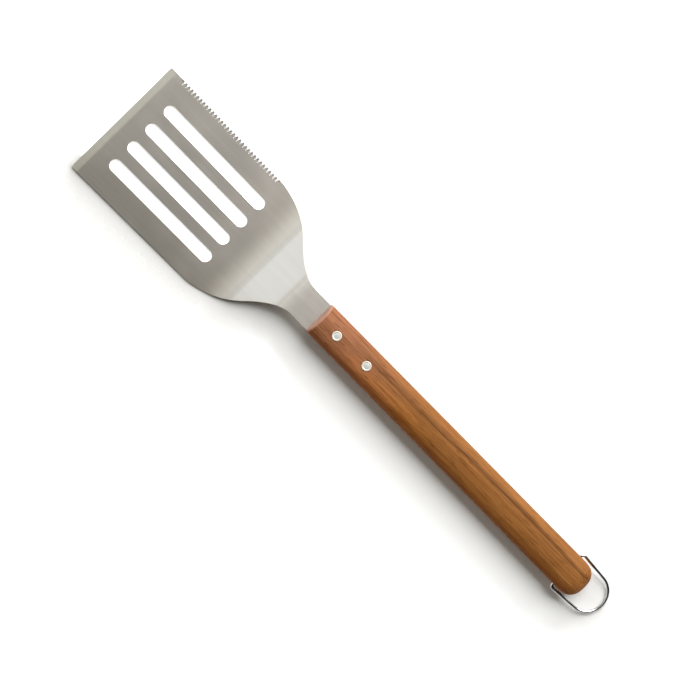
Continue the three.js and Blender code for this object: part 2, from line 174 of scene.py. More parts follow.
# Painted shade: the side away from the lamp made yellower and darker
SHADE_YELLOWING_SIDE = (-3.0, -12.0)
SHADE_DARKENING_SIDE = (-8.5, -12.0)
WARM_PATCH = (42.0, 85.0)
WARM_PATCH_FADES = (22.0, 35.0)
WARM_SIDES = (-8.5, -2.5)
WARM_SIDES_FADES = (2.5, 3.0)
# The sawn front: partly the end grain's own paler colour, partly painted light; and a painted
# highlight on its rim
SAWN_FACE = (0.3, 0.6)
RIM_HIGHLIGHT = (0.6, 1.0)
RIM_HIGHLIGHT_FADES = (0.2, 0.5)

# Stations along the middle of the sheet
FIRST_BEND_END = FIRST_BEND + FIRST_RADIUS * RAMP_ANGLE
SECOND_BEND = FIRST_BEND_END + RAMP_LENGTH
SECOND_BEND_END = SECOND_BEND + SECOND_RADIUS * RAMP_ANGLE


def middle_line(along):
    """The middle of the sheet seen from the side, for a length measured along it: straight, a
    circular bend up, a straight ramp, a tighter bend back by the same angle and straight again.
    Gives how far it has run, how high it is and how steeply it climbs."""
    first = np.clip((along - FIRST_BEND) / FIRST_RADIUS, 0, RAMP_ANGLE)
    second = np.clip((along - SECOND_BEND) / SECOND_RADIUS, 0, RAMP_ANGLE)
    ramp = np.clip(along - FIRST_BEND_END, 0, RAMP_LENGTH)
    left = RAMP_ANGLE - second
    run = np.minimum(along, FIRST_BEND) + np.maximum(along - SECOND_BEND_END, 0)
    run = run + FIRST_RADIUS * np.sin(first) + ramp * math.cos(RAMP_ANGLE)
    run = run + SECOND_RADIUS * (math.sin(RAMP_ANGLE) - np.sin(left))
    rise = SHEET / 2 + FIRST_RADIUS * (1 - np.cos(first)) + ramp * math.sin(RAMP_ANGLE)
    rise = rise + SECOND_RADIUS * (np.cos(left) - math.cos(RAMP_ANGLE))
    return run, rise, first - second


NECK_START, AXIS_HEIGHT, _ = (float(value) for value in middle_line(SECOND_BEND_END))
HANDLE_FRONT = NECK_START + NECK_LENGTH
HANDLE_END = HANDLE_FRONT + HANDLE_LENGTH
TANG_END = HANDLE_FRONT + RIVET_STATIONS[1] + TANG_PAST_RIVET
SHEET_END = SECOND_BEND_END + TANG_END - NECK_START
LOOP_PIVOT = HANDLE_END - LOOP_PIVOT_FROM_END

# Where the tool lies in the frame: its tilt from the blade's underside, its origin at the tip
underside = next(m for m in frame["record"]["mounts"] if m["name"] == "blade_underside")
TILT = math.atan2(-underside["axis"][0], -underside["axis"][2])
TIP_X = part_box("blade")[0].x
TIP_Z = underside["pos_m"][2] + (underside["pos_m"][0] - TIP_X) * math.tan(TILT)
TIP = Vector((TIP_X, 0, TIP_Z))


def placed(points):
    """Tool millimetres to the frame's metres: turned by the tilt about Y, then moved to the tip."""
    turn = np.array(Matrix.Rotation(TILT, 3, "Y"))
    return points * MM @ turn.T + np.array(TIP)


def grid_faces(rows, columns, wrap_rows=False, wrap_columns=False):
    """Quads of a grid of points, row after row. They face along the rows' direction crossed with
    the columns' direction."""
    row = np.arange(rows if wrap_rows else rows - 1)[:, None]
    column = np.arange(columns if wrap_columns else columns - 1)[None, :]
    after = (row + 1) % rows
    beside = (column + 1) % columns
    corners = (row * columns + column, after * columns + column)
    corners += (after * columns + beside, row * columns + beside)
    return np.stack(np.broadcast_arrays(*corners), axis=-1).reshape(-1, 4)


def closed_skin(rings):
    """Rings of points joined in order, each end closed by a fan to the middle of its ring."""
    count, sides = rings.shape[:2]
    points = np.concatenate([rings.reshape(-1, 3), rings[[0, -1]].mean(axis=1)])
    here = np.arange(sides)
    beside = (here + 1) % sides
    last = (count - 1) * sides
    first_fan = np.stack([np.full(sides, count * sides), beside, here], axis=-1)
    last_fan = np.stack([np.full(sides, count * sides + 1), last + here, last + beside], axis=-1)
    faces = grid_faces(count, sides, wrap_columns=True).tolist()
    return points, faces + first_fan.tolist() + last_fan.tolist()


def closed_ring(rings):
    """Rings of points joined in order and the last to the first, as on a tube's wall."""
    count, sides = rings.shape[:2]
    return rings.reshape(-1, 3), grid_faces(count, sides, True, True).tolist()


def turned(profile, station, sides=64):
    """A profile of radius and height turned about an upright axis at a station."""
    angle = np.linspace(0, -2 * math.pi, sides, endpoint=False)
    radius, height = np.asarray(profile, float).T[:, :, None]
    flat = np.broadcast_to(height, (len(height), sides))
    return np.stack([station + radius * np.cos(angle), radius * np.sin(angle), flat], axis=-1)


def tube(path, up, radius, sides=28):
    """A round section carried along a path in a plane: at each point a circle spanned by the
    plane's normal and the direction square to the path."""
    ahead = np.gradient(path, axis=0)
    ahead = ahead / np.linalg.norm(ahead, axis=1, keepdims=True)
    side = np.cross(up, ahead)
    angle = np.linspace(0, -2 * math.pi, sides, endpoint=False)[None, :, None]
    swing = np.cos(angle) * side[:, None] + np.sin(angle) * np.asarray(up)
    return path[:, None] + radius * swing


def arc(centre, radius, start_degrees, end_degrees, count=6):
    """Points on a circular arc in a plane, from one angle to another."""
    angle = np.radians(np.linspace(start_degrees, end_degrees, count))
    return np.array(centre) + radius * np.stack([np.cos(angle), np.sin(angle)], axis=-1)


def mesh_object(name, points, faces):
    """A mesh of points already in the frame's metres, linked to the scene."""
    mesh = bpy.data.meshes.new(name)
    mesh.from_pydata(points.tolist(), [], faces)
    mesh.validate()
    made = bpy.data.objects.new(name, mesh)
    bpy.context.scene.collection.objects.link(made)
    return made


def finished(piece, material, node, body="tool"):
    """Shading, finish and place in the assembly for a piece that stands for a solid."""
    piece.data.shade_smooth()
    piece.data.set_sharp_from_angle(angle=SHARP_ANGLE)
    piece.data.materials.clear()
    piece.data.materials.append(material)
    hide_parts(node)
    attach(piece, body)
    return piece


# The blade

def curve_between(start, start_fall, end, end_fall, count=80):
    """A quadratic curve whose ends point along two falls in width per length: its middle point is
    where the two end lines meet."""
    run = (start[1] - end[1] + end_fall * (start[0] - end[0])) / (end_fall - start_fall)
    bend = np.array([start[0] - run, start[1] + start_fall * run])
    share = np.linspace(0, 1, count)[:, None]
    pull = 2 * share * (1 - share) * bend
    return (1 - share) ** 2 * np.array(start) + pull + share**2 * np.array(end)


def half_width(run):
    """Half the sheet's width: straight flaring sides, a round shoulder, a waist and the neck."""
    shoulder_fall = math.tan(math.radians(SHOULDER_DEGREES))
    waist_fall = math.tan(math.radians(WAIST_DEGREES))
    waist = (WAIST_STATION, WAIST_HALF)
    shoulder = curve_between((STRAIGHT_SIDE, HEEL_HALF), shoulder_fall, waist, waist_fall)
    throat = curve_between(waist, waist_fall, (NECK_START, NECK_HALF), 0)
    side = np.array([[0, TIP_HALF]])
    outline = np.concatenate([side, shoulder, throat[1:]])
    return np.interp(run, outline[:, 0], outline[:, 1])


def scallop_cut(along):
    """How far across the slope of each scallop would meet the underside: round hollows side by
    side, each a circular sag from its deepest point, seen along the slant that it is ground at."""
    half = SCALLOP_WIDTH / 2
    radius = (half**2 + SCALLOP_DEPTH**2) / (2 * SCALLOP_DEPTH)
    index = np.floor((along - SERRATION_START) / SCALLOP_PITCH).clip(0, SCALLOP_COUNT - 1)
    away = along - SERRATION_START - (index + 0.5) * SCALLOP_PITCH
    sag = radius - np.sqrt(np.maximum(radius**2 - away**2, 0))
    cut = half_width(along) - (SCALLOP_DEPTH - sag) / math.sin(SCALLOP_ANGLE)
    return np.where(np.abs(away) < radius, cut, 2 * TIP_HALF)


def top_height(along, across):
    """Height of the top face over the underside: the sheet's thickness, less where the tip is
    ground to a bevel, which runs into the flat along a parabola, and where a scallop slopes down
    to the edge."""
    reach = np.clip(along / TIP_BEVEL, 0, 1 + BEVEL_EASE)
    left = 1 + BEVEL_EASE - reach
    eased = np.where(left < 2 * BEVEL_EASE, 1 - left**2 / (4 * BEVEL_EASE), reach)
    bevel = TIP_EDGE + (SHEET - TIP_EDGE) * eased
    slope = math.tan(SCALLOP_ANGLE) * (scallop_cut(along) - across)
    return np.minimum(bevel, np.maximum(slope, SCALLOP_LAND))


def bent(along, across, height):
    """A point of the flat sheet after bending: on the middle line, then out along its normal."""
    run, rise, climb = middle_line(along)
    out = height - SHEET / 2
    return np.stack([run - out * np.sin(climb), across, rise + out * np.cos(climb)], axis=-1)


def blade_stations(inset):
    """Stations along the sheet, close where its outline turns: tip corners, bevel, slot ends,
    scallops, bends and rivet holes."""
    quarter = np.linspace(0, math.pi / 2, 10)
    half_turn = np.linspace(0, math.pi, 25)
    corner = TIP_CORNER - (TIP_CORNER - inset) * np.cos(quarter)
    bevel = TIP_BEVEL * np.linspace(1 - BEVEL_EASE, 1 + BEVEL_EASE, 7)
    slot_end = (SLOT_RADIUS + inset) * np.cos(quarter)
    hollow = SCALLOP_WIDTH / 2 * np.sin(np.linspace(-math.pi / 2, math.pi / 2, 15))
    tooth = np.concatenate([hollow, [-SCALLOP_PITCH / 2]])
    scallops = ((np.arange(SCALLOP_COUNT) + 0.5)[:, None] * SCALLOP_PITCH + tooth).ravel()
    ends = SCALLOP_PITCH / 4 * np.array([0.25, 0.5, 0.65, 0.75, 1])
    last = SERRATION_START + SCALLOP_COUNT * SCALLOP_PITCH
    holes = (TUBE_RADIUS + FIT_GAP + inset) * np.cos(half_turn)
    rivets = SHEET_END - TANG_PAST_RIVET - np.array([RIVET_STATIONS[1] - RIVET_STATIONS[0], 0])
    groups = [
        corner,
        bevel,
        np.arange(TIP_CORNER, SERRATION_START, 1.0),
        SLOT_FIRST - slot_end,
        SLOT_LAST + slot_end,
        SERRATION_START + scallops,
        SERRATION_START - ends,
        last + ends,
        np.arange(last + 1.5, FIRST_BEND, 1.0),
        np.linspace(FIRST_BEND, FIRST_BEND_END, 20),
        np.linspace(FIRST_BEND_END, SECOND_BEND, 26),
        np.linspace(SECOND_BEND, SECOND_BEND_END, 20),
        np.linspace(SECOND_BEND_END, SHEET_END - inset, 16),
        (rivets[:, None] + holes).ravel(),
    ]
    return np.unique(np.concatenate(groups).round(3))


def round_opening(along, first, last, radius):
    """Half width of a round-ended opening between two end centres."""
    beyond = np.maximum(np.maximum(first - along, along - last), 0)
    return np.sqrt(np.maximum(radius**2 - beyond**2, 0))


def blade_grid(inset):
    """The sheet's plan as strips between lines that run its whole length: its sides, the middles
    of the slots and of the rivet holes. A line opens by the opening's half width, and where
    nothing is open its two strips share their points. Gives stations, widths, the ease of the
    edge there and which gaps between columns lie inside a strip."""
    along = blade_stations(inset)[:, None]
    run = middle_line(along)[0]
    half = half_width(run)
    lean = np.hypot(1, np.gradient(half[:, 0], along[:, 0]))[:, None]
    corner = np.sqrt(np.maximum((TIP_CORNER - inset) ** 2 - (TIP_CORNER - along) ** 2, 0))
    drawn_in = np.where(along < TIP_CORNER, half - TIP_CORNER + corner, half - inset * lean)

    edge = np.minimum(half, scallop_cut(along) - SCALLOP_LAND / math.tan(SCALLOP_ANGLE))
    edge_ease = np.minimum(EDGE_EASE, EDGE_EASE_SHARE * top_height(along, edge))
    edge_line = np.minimum(drawn_in, edge - 2 * edge_ease)
    facet = scallop_cut(along) - SHEET / math.tan(SCALLOP_ANGLE)
    facet = np.minimum(facet, edge_line - SCALLOP_STRIP)

    tang = np.clip((run - STRAIGHT_SIDE) / (NECK_START - STRAIGHT_SIDE), 0, 1)
    fan = SLOT_OFFSETS / TIP_HALF * half
    slots = fan + (NECK_LINES - fan) * tang**2 * (3 - 2 * tang)
    gaps = round_opening(along, SLOT_FIRST, SLOT_LAST, SLOT_RADIUS + inset)
    last_rivet = SHEET_END - TANG_PAST_RIVET
    spacing = RIVET_STATIONS[1] - RIVET_STATIONS[0]
    hole = TUBE_RADIUS + FIT_GAP + inset
    holes = round_opening(along, last_rivet, last_rivet, hole)
    holes = holes + round_opening(along, last_rivet - spacing, last_rivet - spacing, hole)

    middle = np.zeros_like(half)
    left = [-drawn_in, slots[:, :1] + gaps, slots[:, 1:2] + gaps, middle + holes]
    left += [slots[:, 2:3] + gaps, slots[:, 3:] + gaps, facet]
    right = [slots[:, :1] - gaps, slots[:, 1:2] - gaps, middle - holes, slots[:, 2:3] - gaps]
    right += [slots[:, 3:] - gaps, facet, edge_line]
    share = np.linspace(0, 1, 5)
    strips = [low + (high - low) * share for low, high in zip(left, right)]
    across = np.concatenate(strips, axis=1)
    along = np.broadcast_to(along, across.shape)
    ease = np.full(across.shape, EDGE_EASE)
    ease[:, -1:] = edge_ease
    joined = np.ones(across.shape[1] - 1, bool)
    joined[len(share) - 1 :: len(share)] = False
    return along, across, ease, joined


def boundary_steps(plan, faces):
    """The sheet's edges: sides of faces that no face shares, as pairs of points with the sheet on
    their left, and the outward direction at each point, mitred between its two edges."""
    count = len(plan)
    start = faces.ravel()
    end = np.roll(faces, -1, axis=1).ravel()
    alone = ~np.isin(start * count + end, end * count + start)
    start, end = start[alone], end[alone]
    ahead = plan[end] - plan[start]
    out = np.stack([ahead[:, 1], -ahead[:, 0]], axis=-1)
    out = out / np.linalg.norm(out, axis=1, keepdims=True)
    leaving = np.zeros((count, 2))
    arriving = np.zeros((count, 2))
    leaving[start] = out
    arriving[end] = out
    mitre = 1 + (leaving * arriving).sum(axis=1, keepdims=True)
    normal = (leaving + arriving) / np.maximum(mitre, MITRE_LIMIT)
    return start, end, normal


def blade_mesh():
    """Top and bottom faces on one plan, joined round every edge by rows that turn it over: out by
    the sine and down by the cosine of a quarter turn at the top, and the same at the bottom."""
    inset = 2 * EDGE_EASE
    along, across, ease, joined = blade_grid(inset)
    rows, columns = across.shape
    faces = grid_faces(rows, columns)[np.tile(joined, rows - 1)]
    keys = np.stack([along.ravel(), across.ravel()], axis=-1).round(5)
    plan, first, index = np.unique(keys, axis=0, return_index=True, return_inverse=True)
    faces = index.reshape(-1)[faces]
    ease = ease.ravel()[first]
    start, end, normal = boundary_steps(plan, faces)
    rim, place = np.unique(start, return_inverse=True)
    after = np.searchsorted(rim, end)

    top = bent(plan[:, 0], plan[:, 1], top_height(plan[:, 0], plan[:, 1]))
    bottom = bent(plan[:, 0], plan[:, 1], np.zeros(len(plan)))
    rim_ease = ease[rim][:, None]
    edge = plan[rim] + 2 * rim_ease * normal[rim]
    edge_top = top_height(edge[:, 0], edge[:, 1])
    turn = np.radians([0, 30, 60, 90])
    outward = rim_ease + rim_ease * np.sin(turn)
    drop = rim_ease * (1 - np.cos(turn))
    outward = np.concatenate([outward, outward[:, ::-1]], axis=1)
    height = np.concatenate([edge_top[:, None] - drop, drop[:, ::-1]], axis=1)
    rim_plan = plan[rim][:, None] + outward[:, :, None] * normal[rim][:, None]
    turned_rows = bent(rim_plan[..., 0], rim_plan[..., 1], height).transpose(1, 0, 2)

    count = len(plan)
    levels = np.concatenate(
        [rim[None], count + np.arange(8 * len(rim)).reshape(8, -1), rim[None] + count + 8 * len(rim)]
    )
    here, beside = levels[:, place], levels[:, after]
    wall = np.stack([beside[:-1], here[:-1], here[1:], beside[1:]], axis=-1).reshape(-1, 4)
    under = faces[:, ::-1] + count + 8 * len(rim)
    points = np.concatenate([top, turned_rows.reshape(-1, 3), bottom])
    return points, np.concatenate([faces, wall, under]).tolist()


# The handle

def handle_halves(station):
    """Half width and half thickness of the handle, each growing evenly towards the rear."""
    share = (station - HANDLE_FRONT) / HANDLE_LENGTH
    wide = HANDLE_HALF_WIDTHS[0] + np.diff(HANDLE_HALF_WIDTHS)[0] * share
    thick = HANDLE_HALF_THICKNESSES[0] + np.diff(HANDLE_HALF_THICKNESSES)[0] * share
    return wide, thick


def squared_ellipse(sides):
    """Points evenly spaced round an ellipse with squared corners, for half sizes of one: cosine
    and sine raised to a power below one, resampled by length."""
    angle = np.linspace(0, -2 * math.pi, 4000)
    section = np.stack([np.cos(angle), np.sin(angle)], axis=-1)
    section = np.sign(section) * np.abs(section) ** (2 / HANDLE_SQUARENESS)
    sizes = np.array([HANDLE_HALF_WIDTHS[0], HANDLE_HALF_THICKNESSES[0]])
    steps = np.linalg.norm(np.diff(section * sizes, axis=0), axis=1)
    length = np.concatenate([[0], np.cumsum(steps)])
    even = np.linspace(0, length[-1], sides, endpoint=False)
    return np.stack([np.interp(even, length, section[:, axis]) for axis in (0, 1)], axis=-1)


def handle_skin():
    """Squared ellipses along the handle. The front is eased by a quarter round and leans back by
    its rake, which dies out along the length. The rear closes along a squared quarter ellipse."""
    quarter = np.linspace(0, math.pi / 2, 7)
    face = HANDLE_EASE + np.array(HANDLE_FACE_DRAW)
    front_station = np.concatenate([np.zeros(len(face)), HANDLE_EASE * (1 - np.cos(quarter))])
    front_draw = np.concatenate([face, HANDLE_EASE * (1 - np.sin(quarter))])
    body_station = np.linspace(HANDLE_EASE, HANDLE_LENGTH - HANDLE_END_ROUND, 66)[1:]
    round_angle = np.linspace(0, math.pi / 2, 26)[1:]
    share = np.sin(round_angle)
    end_station = HANDLE_LENGTH - HANDLE_END_ROUND * (1 - share)
    shrink = (1 - share**HANDLE_END_POWER).clip(1e-4) ** (1 / HANDLE_END_POWER)

    station = HANDLE_FRONT + np.concatenate([front_station, body_station, end_station])
    draw = np.concatenate([front_draw, np.zeros(len(body_station) + len(end_station))])
    scale = np.concatenate([np.ones(len(front_station) + len(body_station)), shrink])
    wide, thick = handle_halves(np.minimum(station, HANDLE_END - HANDLE_END_ROUND))
    section = squared_ellipse(144)
    across = section[:, 0] * (scale * (wide - draw))[:, None]
    up = section[:, 1] * (scale * (thick - draw))[:, None]
    lean = math.tan(HANDLE_RAKE) * (1 - (station - HANDLE_FRONT) / HANDLE_LENGTH)[:, None]
    return closed_skin(np.stack([station[:, None] + up * lean, across, AXIS_HEIGHT + up], axis=-1))


def saw_slot():
    """A box through the handle's front, both sides open, that takes the tang."""
    corners = np.array([[1, 1], [1, -1], [-1, -1], [-1, 1]]) * np.array([SAW_REACH, SAW_SLOT / 2])
    ends = np.array([HANDLE_FRONT - SAW_REACH, TANG_END + FIT_GAP])
    rings = np.empty((2, 4, 3))
    rings[..., 0] = ends[:, None]
    rings[..., 1] = corners[:, 0]
    rings[..., 2] = AXIS_HEIGHT + corners[:, 1]
    return closed_skin(rings)


def rivet_heights(station):
    """Where the rivet's heads reach and where they are seated, above and below the handle."""
    thick = handle_halves(station)[1]
    top = AXIS_HEIGHT + thick + HEAD_PROUD
    bottom = AXIS_HEIGHT - thick - HEAD_PROUD
    return top, top - HEAD_HEIGHT, bottom + HEAD_HEIGHT, bottom


def rivet_hole(station):
    """A stepped round cutter: a bore for the tube between two wider seats for the heads."""
    top, upper_seat, lower_seat, bottom = rivet_heights(station)
    seat = HEAD_RADIUS + FIT_GAP
    bore = TUBE_RADIUS + FIT_GAP
    low, high = lower_seat + FIT_GAP, upper_seat - FIT_GAP
    lower = [[seat, bottom - CUT_PAST], [seat, low], [bore, low]]
    upper = [[bore, high], [seat, high], [seat, top + CUT_PAST]]
    return closed_skin(turned(lower + upper, station))


def loop_hole(side):
    """A round cutter into one side of the handle."""
    wide = handle_halves(LOOP_PIVOT)[0]
    reach = np.linspace(wide - LOOP_PIN_DEPTH - FIT_GAP, wide + CUT_PAST, 4) * side
    path = np.stack([np.full(4, LOOP_PIVOT), reach, np.full(4, AXIS_HEIGHT)], axis=-1)
    return closed_skin(tube(path, (0, 0, 1), WIRE_RADIUS + FIT_GAP))


def cut_away(piece, cutters):
    """Takes closed shapes away from a piece, leaving one plain mesh."""
    helpers = []
    for points, faces in cutters:
        helper = mesh_object("cutter", placed(points), faces)
        modifier = piece.modifiers.new("cut", "BOOLEAN")
        modifier.operation = "DIFFERENCE"
        modifier.solver = "EXACT"
        modifier.object = helper
        helpers.append(helper)
    evaluated = piece.evaluated_get(bpy.context.evaluated_depsgraph_get())
    cut = bpy.data.meshes.new_from_object(evaluated)
    piece.modifiers.clear()
    piece.data = cut
    for helper in helpers:
        bpy.data.objects.remove(helper)


# Rivets and loop

def sleeve_rings(station):
    """The rivet's tube and ring head: a profile from the bore's foot out to the tube, up to the
    seat, out round the head's eased rim, back over its slightly domed top and in at its mouth."""
    top, seat, lower_seat, _ = rivet_heights(station)
    foot = lower_seat + FIT_GAP
    rim = top - HEAD_DOME - HEAD_EASE
    radius = np.linspace(HEAD_RADIUS - HEAD_EASE, RING_MOUTH + RING_LIP, 8)
    centre = (HEAD_RADIUS + TUBE_BORE) / 2
    dome = top - HEAD_DOME * ((radius - centre) / (radius[0] - centre)) ** 2
    profile = [
        [[TUBE_BORE, foot], [TUBE_RADIUS, foot], [TUBE_RADIUS, seat], [HEAD_RADIUS, seat]],
        arc((HEAD_RADIUS - HEAD_EASE, rim), HEAD_EASE, 0, 90)[:-1],
        np.stack([radius, dome], axis=-1)[:-1],
        arc((RING_MOUTH + RING_LIP, dome[-1] - RING_LIP), RING_LIP, 90, 180),
        [[TUBE_BORE, top - RING_MOUTH_DEPTH]],
    ]
    return closed_ring(turned(np.concatenate(profile), station))


def pin_rings(station):
    """The rivet's pin: a headed pin from below with a shallow domed head, a straight shank and an
    end spread to fill the ring, slightly domed and just under the ring's top."""
    top, _, seat, bottom = rivet_heights(station)
    end = top - PIN_RECESS
    head = np.linspace(PIN_CORE, HEAD_RADIUS - HEAD_EASE, 8)
    shank = np.linspace(PIN_FLARE - PIN_EASE, PIN_CORE, 7)
    dome = bottom + HEAD_DOME * (head / head[-1]) ** 2
    end_dome = end + PIN_DOME * (1 - (shank / shank[0]) ** 2)
    rim = dome[-1] + HEAD_EASE
    profile = [
        np.stack([head, dome], axis=-1)[:-1],
        arc((HEAD_RADIUS - HEAD_EASE, rim), HEAD_EASE, -90, 0),
        [[HEAD_RADIUS, seat], [PIN_RADIUS, seat], [PIN_RADIUS, end - PIN_FLARE_DEPTH]],
        arc((PIN_FLARE - PIN_EASE, end - PIN_EASE), PIN_EASE, 0, 90)[:-1],
        np.stack([shank, end_dome], axis=-1),
    ]
    return closed_skin(turned(np.concatenate(profile), station))


def loop_path():
    """The wire's middle line about its pivot: a pin in the handle, a tight bend, a leg along the
    line that touches both bend and bow, the round bow, and the same back."""
    wide = handle_halves(LOOP_PIVOT)[0]
    bend_side = wide + LOOP_SIDE_GAP + WIRE_RADIUS - LOOP_BEND
    bow_middle = LOOP_PIVOT_FROM_END + LOOP_GAP_BEHIND + WIRE_RADIUS - LOOP_BOW
    run = bow_middle - LOOP_BEND
    lean = math.atan2(bend_side, run)
    lean = lean - math.asin((LOOP_BOW - LOOP_BEND) / math.hypot(run, bend_side))
    leg_turn = 90 - math.degrees(lean)
    pin = np.stack([np.zeros(8), np.linspace(LOOP_PIN_DEPTH - wide, -bend_side, 8)], axis=-1)
    bend = arc((LOOP_BEND, -bend_side), LOOP_BEND, 180, 360 - leg_turn, 20)
    bow = arc((bow_middle, 0), LOOP_BOW, -leg_turn, leg_turn, 81)
    half = np.concatenate([pin[:-1], bend])
    leg = half[-1] + (bow[0] - half[-1]) * np.linspace(0, 1, 14)[1:-1, None]
    half = np.concatenate([half, leg])
    return np.concatenate([half, bow, half[::-1] * np.array([1, -1])])


def loop_mesh():
    """A round wire along the loop's path, hanging from the pivot until the bow lies on the floor."""
    path = loop_path()
    pivot = np.array(frame["joints"][0]["pos_m"])
    reach = path[:, 0].max() * MM
    drop = math.asin((pivot[2] - WIRE_RADIUS * MM) / reach)
    ahead = np.array([math.cos(drop), 0, -math.sin(drop)])
    line = pivot + MM * (path[:, :1] * ahead + path[:, 1:] * np.array([0, 1, 0]))
    up = np.cross(ahead, [0, 1, 0])
    return closed_skin(tube(line, up, WIRE_RADIUS * MM))


# Shader nodes

def add(tree, kind, inputs=None, **settings):
    """A shader node with its settings made and its inputs set to values or linked to sockets."""
    made = tree.nodes.new("ShaderNode" + kind)
    for name, value in settings.items():
        setattr(made, name, value)
    for key, value in (inputs or {}).items():
        if isinstance(value, bpy.types.NodeSocket):
            tree.links.new(value, made.inputs[key])
        else:
            made.inputs[key].default_value = value
    return made


def calc(tree, operation, first, second=0.0, clamp=False):
    """The result of one sum on one or two values."""
    made = add(tree, "Math", {0: first, 1: second}, operation=operation, use_clamp=clamp)
    return made.outputs[0]


def times(tree, first, second):
    """Two values multiplied."""
    return calc(tree, "MULTIPLY", first, second)


def plus(tree, first, second, clamp=False):
    """Two values added, and held between zero and one if clamped."""
    return calc(tree, "ADD", first, second, clamp)


def blended(tree, share, first, second, mode="MIX"):
    """Two colours mixed by a share."""
    made = add(tree, "Mix", {0: share, 6: first, 7: second}, data_type="RGBA", blend_type=mode)
    return made.outputs[2]


def ramp(tree, value, stops):
    """A value turned into a colour along stops of position and colour."""
    made = add(tree, "ValToRGB", {0: value})
    elements = made.color_ramp.elements
    while len(elements) < len(stops):
        elements.new(1.0)
    for element, (position, colour) in zip(elements, stops):
        element.position = position
        element.color = (*colour, 1.0)
    return made.outputs[0]


def grey_ramp(tree, value, *stops):
    """A value turned into another along stops of position and level."""
    return ramp(tree, value, [(position, (level,) * 3) for position, level in stops])


def ranged(tree, value, low, high, to_low=0.0, to_high=1.0, smooth=False):
    """A value carried from one range to another, held at the ends."""
    kind = "SMOOTHSTEP" if smooth else "LINEAR"
    inputs = {"Value": value, "From Min": low, "From Max": high}
    inputs.update({"To Min": to_low, "To Max": to_high})
    return add(tree, "MapRange", inputs, interpolation_type=kind).outputs[0]


def noise(tree, vector, scale, detail=3.0, roughness=0.5):
    """Smooth noise at a scale, as a value."""
    inputs = {"Vector": vector, "Scale": scale, "Detail": detail, "Roughness": roughness}
    return add(tree, "TexNoise", inputs).outputs["Fac"]


def stretched(tree, vector, scale):
    """Coordinates scaled by an amount for each axis."""
    return add(tree, "Mapping", {"Vector": vector, "Scale": scale}).outputs[0]


def tool_place(tree, origin=(0, 0, 0)):
    """Millimetres in the tool's axes from an origin on it."""
    turn = Matrix.Rotation(-TILT, 3, "Y")
    place = turn @ (TIP / MM) + Vector(origin)
    coordinates = add(tree, "TexCoord").outputs["Object"]
    scaled = add(tree, "Mapping", {"Vector": coordinates, "Scale": (1 / MM,) * 3}).outputs[0]
    inputs = {"Vector": scaled, "Location": -place, "Rotation": (0, -TILT, 0)}
    return add(tree, "Mapping", inputs).outputs[0]


def new_group(name, inputs, outputs):
    """A shader node group with named value inputs and outputs. Gives it and its two ends."""
    group = bpy.data.node_groups.new(name, "ShaderNodeTree")
    for label, value in inputs.items():
        socket = group.interface.new_socket(label, in_out="INPUT", socket_type="NodeSocketFloat")
        socket.default_value = value
    for label in outputs:
        group.interface.new_socket(label, in_out="OUTPUT", socket_type="NodeSocketFloat")
    return group, group.nodes.new("NodeGroupInput"), group.nodes.new("NodeGroupOutput")


def satin_group():
    """Fine grinding lines along the tool: noise drawn out along its length, as a value round a
    half, and a faint slower unevenness from the grinding belt."""
    inputs = {"Lines per mm": 6.0, "Line length mm": 30.0}
    group, source, result = new_group("satin lines", inputs, ["Lines", "Belt"])
    coordinates = add(group, "TexCoord").outputs["Object"]
    across = times(group, source.outputs[0], 1 / MM)
    along = calc(group, "DIVIDE", 1 / MM, source.outputs[1])
    scale = add(group, "CombineXYZ", {0: along, 1: across, 2: along}).outputs[0]
    vector = add(group, "VectorMath", {0: coordinates, 1: scale}, operation="MULTIPLY").outputs[0]
    fine = noise(group, vector, 1.0, detail=4.0, roughness=0.65)
    wide = noise(group, stretched(group, vector, (0.5, 0.06, 0.5)), 1.0, detail=2.0)
    group.links.new(fine, result.inputs["Lines"])
    group.links.new(wide, result.inputs["Belt"])
    return group


def handling_group():
    """Marks of handling: soft wiped patches, and small specks, both as shares."""
    group, source, result = new_group("handling marks", {"Patch size mm": 25.0}, ["Patches", "Specks"])
    coordinates = add(group, "TexCoord").outputs["Object"]
    scale = calc(group, "DIVIDE", 1 / MM, source.outputs[0])
    vector = add(group, "VectorMath", {0: coordinates, "Scale": scale}, operation="SCALE").outputs[0]
    patches = noise(group, vector, 1.0, detail=3.0, roughness=0.6)
    specks = noise(group, vector, 24.0, detail=2.0)
    group.links.new(ranged(group, patches, 0.42, 0.68, smooth=True), result.inputs["Patches"])
    group.links.new(ranged(group, specks, 0.66, 0.74), result.inputs["Specks"])
    return group


SATIN = satin_group()
HANDLING = handling_group()


def grouped(tree, group, *values):
    """A node group placed in a material with its own values, in the order of its inputs."""
    made = tree.nodes.new("ShaderNodeGroup")
    made.node_tree = group
    for socket, value in zip(made.inputs, values):
        socket.default_value = value
    return made.outputs


def new_material(name):
    """A material with one principled shader, and its node tree."""
    material = bpy.data.materials.new(name)
    material.use_nodes = True
    tree = material.node_tree
    return material, tree, tree.nodes["Principled BSDF"]


def coated(tree, shader, colour, rough):
    """A colour and a roughness given to the shader."""
    tree.links.new(colour, shader.inputs["Base Color"])
    tree.links.new(rough, shader.inputs["Roughness"])


def bumped(tree, shader, height, distance, strength):
    """A height that shapes the shader's normal."""
    inputs = {"Height": height, "Distance": distance, "Strength": strength}
    bump = add(tree, "Bump", inputs)
    tree.links.new(bump.outputs[0], shader.inputs["Normal"])


